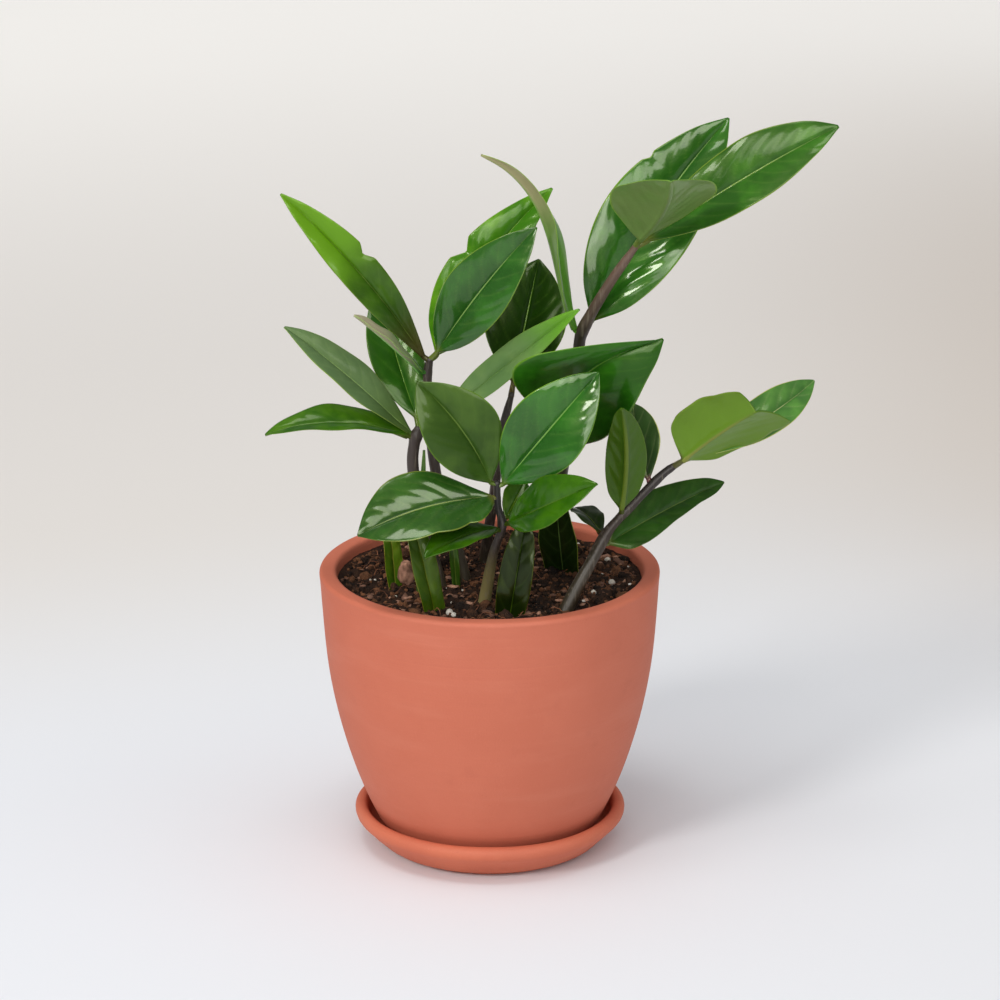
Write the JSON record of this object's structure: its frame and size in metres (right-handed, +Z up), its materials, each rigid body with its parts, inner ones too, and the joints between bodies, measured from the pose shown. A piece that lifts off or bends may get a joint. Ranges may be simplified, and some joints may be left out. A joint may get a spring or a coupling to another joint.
{
  "type": "potted zz plant",
  "caption": "Small ZZ plant: glossy leaflets on arching stalks and upright leaf cuttings, in soil in a round unglazed terracotta pot that stands on a saucer.",
  "frame": {"origin": "middle of the saucer's flat underside, on the surface it stands on", "axes": "+Z is up along the pot's axis, -Y is the side the plant is shown from, +X is to that side's right"},
  "size_m": [0.2274, 0.1428, 0.3096],
  "materials": {
    "terracotta": "matte",
    "potting_soil": "matte",
    "bark": "matte",
    "stem_skin": "satin",
    "leaf": "gloss"
  },
  "bodies": {
    "root": {"saucer": "terracotta", "pot": "terracotta", "soil": "potting_soil", "bark_chip": "bark", "far_left_stem": "stem_skin", "left_stem": "stem_skin", "back_stem": "stem_skin", "tall_stem": "stem_skin", "right_stem": "stem_skin", "front_stem": "stem_skin", "far_left_leaf_low": "leaf", "far_left_leaf_middle": "leaf", "far_left_leaf_back": "leaf", "left_leaf_long": "leaf", "left_leaf_small": "leaf", "left_leaf_glossy": "leaf", "left_leaf_behind": "leaf", "left_leaf_inner": "leaf", "back_leaf": "leaf", "tall_leaf_right": "leaf", "tall_leaf_wide": "leaf", "tall_leaf_forward": "leaf", "tall_leaf_curled": "leaf", "tall_leaf_low": "leaf", "right_leaf_tip": "leaf", "right_leaf_behind": "leaf", "right_leaf_upright": "leaf", "right_leaf_upper_back": "leaf", "right_leaf_low": "leaf", "right_leaf_low_back": "leaf", "front_leaf_left_upright": "leaf", "front_leaf_right_upright": "leaf", "front_leaf_left": "leaf", "front_leaf_left_low": "leaf", "front_leaf_right": "leaf", "front_leaf_behind": "leaf", "cutting_far_left": "leaf", "cutting_left": "leaf", "cutting_front": "leaf", "cutting_middle": "leaf", "cutting_thin": "leaf", "cutting_tall_thin": "leaf"}
  },
  "joints": []
}
